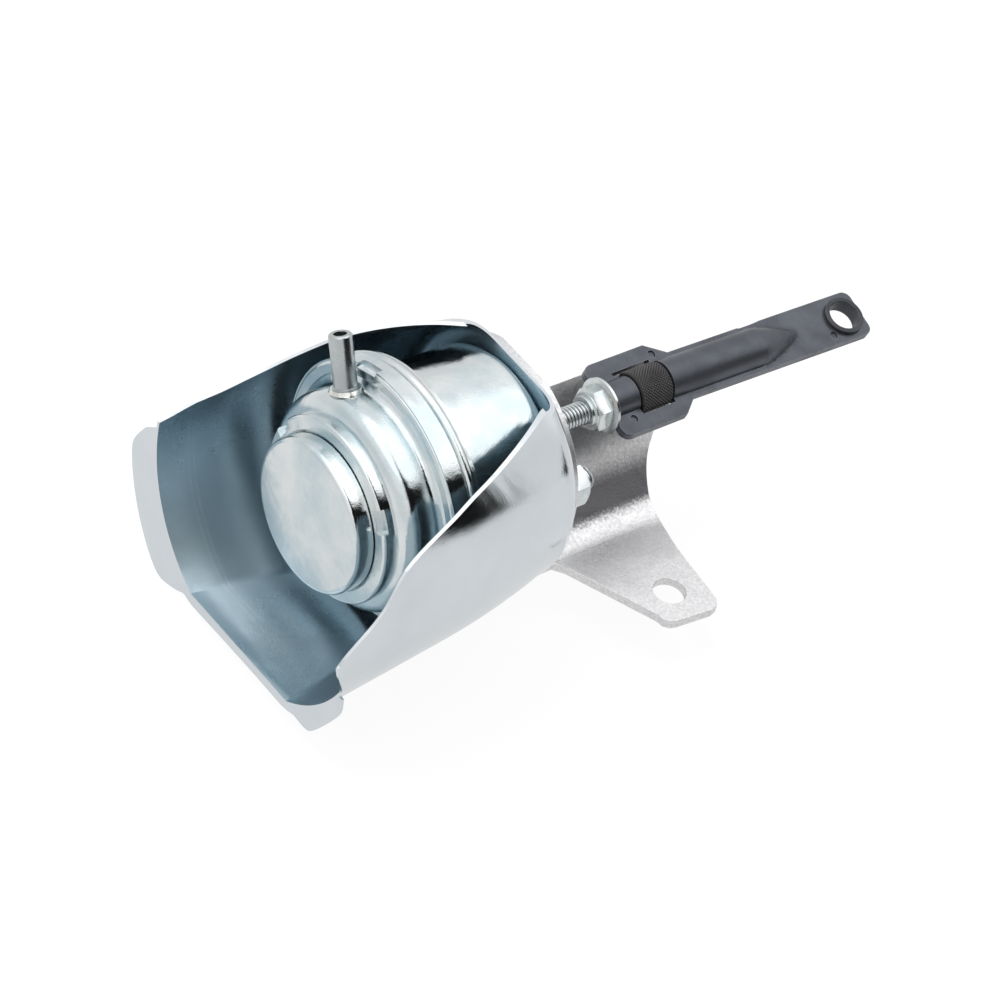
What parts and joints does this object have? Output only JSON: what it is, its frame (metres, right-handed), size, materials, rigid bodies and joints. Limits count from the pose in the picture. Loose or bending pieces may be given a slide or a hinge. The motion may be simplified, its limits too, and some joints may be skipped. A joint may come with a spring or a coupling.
{
  "type": "turbocharger vacuum actuator",
  "caption": "Diaphragm can in a flared heat shield on a sheet bracket, with a hose nipple, threaded rod, lock nut, knurled adjuster and pressed rod end.",
  "frame": {"origin": "centre of the bolt hole in the bracket's foot, on the foot's underside", "axes": "+X along the rod from the diaphragm can to the rod's eye, +Z square to the bracket's foot, away from what it is bolted to, +Y from the foot towards the rod's axis"},
  "size_m": [0.1945, 0.0974, 0.081],
  "materials": {
    "can_zinc": "bright zinc plate with a faint blue tint",
    "shield_zinc": "zinc-plated sheet, reads dark blue where it mirrors shade",
    "bracket_steel": "matt zinc plate with a sandy grain",
    "nipple_steel": "drawn steel tube and braze, plated",
    "fastener_zinc": "zinc-plated threads and nuts",
    "inner_steel": "plain pressed steel",
    "spring_steel": "drawn spring wire",
    "diaphragm_rubber": "moulded rubber on cloth",
    "bush_bronze": "sintered bronze",
    "rod_end_steel": "dark blue-grey satin coating",
    "barrel_steel": "dark blackened steel, knurled"
  },
  "bodies": {
    "can": {"end_cap": "can_zinc", "spring_seat": "inner_steel", "front_can": "can_zinc", "hose_nipple": "nipple_steel", "nipple_braze": "nipple_steel", "seam_ring": "can_zinc", "rear_can": "can_zinc", "guide_bush": "bush_bronze", "heat_shield": "shield_zinc", "bracket": "bracket_steel", "studs": "fastener_zinc", "stud_washers": "fastener_zinc", "stud_nuts": "fastener_zinc", "diaphragm": "diaphragm_rubber", "return_spring": "spring_steel"},
    "rod": {"piston_cup": "inner_steel", "support_plate": "inner_steel", "rod": "fastener_zinc", "rod_sleeve": "inner_steel"},
    "rod_end": {"rod_end_upper": "rod_end_steel", "rod_end_lower": "rod_end_steel", "eye_bush": "rod_end_steel", "clinches": "rod_end_steel"},
    "barrel": {"knurled_barrel": "barrel_steel"},
    "lock_nut": {"lock_nut": "fastener_zinc"}
  },
  "joints": [
    {"name": "rod_slide", "type": "slide", "parent": "can", "child": "rod", "axis": [1, 0, 0], "range_m": [-0.012, 0], "stiffness_N_per_m": 2000, "springref_m": 0.004, "deforming": ["return_spring", "diaphragm"]},
    {"name": "rod_end_adjust", "type": "slide", "parent": "rod", "child": "rod_end", "axis": [1, 0, 0], "range_m": [-0.0035, 0.0035]},
    {"name": "barrel_spin", "type": "hinge", "parent": "rod_end", "child": "barrel", "pos_m": [0.01335, 0.0381, 0.0325], "axis": [1, 0, 0], "range_deg": [-1261, 1261]},
    {"name": "lock_nut_spin", "type": "hinge", "parent": "rod_end", "child": "lock_nut", "pos_m": [-0.0033, 0.0381, 0.0325], "axis": [1, 0, 0], "range_deg": [-1261, 1261]}
  ],
  "couplings": [
    {"joint": "barrel_spin", "follows": "rod_end_adjust", "rad_per_m": 6283.2},
    {"joint": "lock_nut_spin", "follows": "rod_end_adjust", "rad_per_m": 6283.2}
  ]
}
